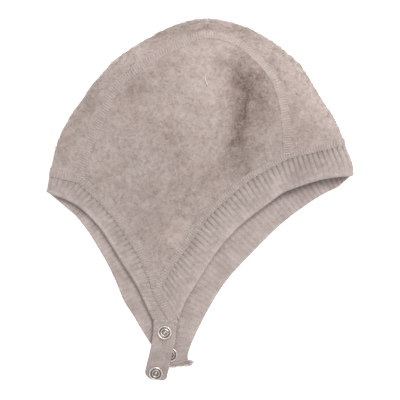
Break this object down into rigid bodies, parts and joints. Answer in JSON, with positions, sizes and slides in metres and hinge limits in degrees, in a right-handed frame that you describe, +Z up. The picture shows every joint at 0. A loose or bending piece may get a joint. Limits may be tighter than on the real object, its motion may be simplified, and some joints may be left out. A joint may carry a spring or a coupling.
{
  "type": "baby wool bonnet",
  "caption": "Soft baby's bonnet of wool fleece in three panels, with ribbed knit bands round the face and nape and a snap strap at the chin, lying on one side.",
  "frame": {"origin": "middle of the footprint, on the surface that the bonnet lies on", "axes": "+X from nape to forehead, +Y from the chin strap to the crown, +Z up from the surface, towards the side that shows"},
  "size_m": [0.2142, 0.2528, 0.041],
  "materials": {
    "wool_fleece": "brushed heather beige wool fleece, matt and softly napped",
    "wool_rib": "heather beige wool rib knit, matt",
    "snap_metal": "polished nickel-plated ring snap"
  },
  "bodies": {
    "root": {"centre_panel": "wool_fleece", "near_side_panel": "wool_fleece", "far_side_panel": "wool_fleece", "nape_band": "wool_rib", "front_band": "wool_rib", "near_tab": "wool_rib", "far_tab": "wool_rib", "near_snap_upper": "snap_metal", "near_snap_lower": "snap_metal", "far_snap": "snap_metal"}
  },
  "joints": []
}
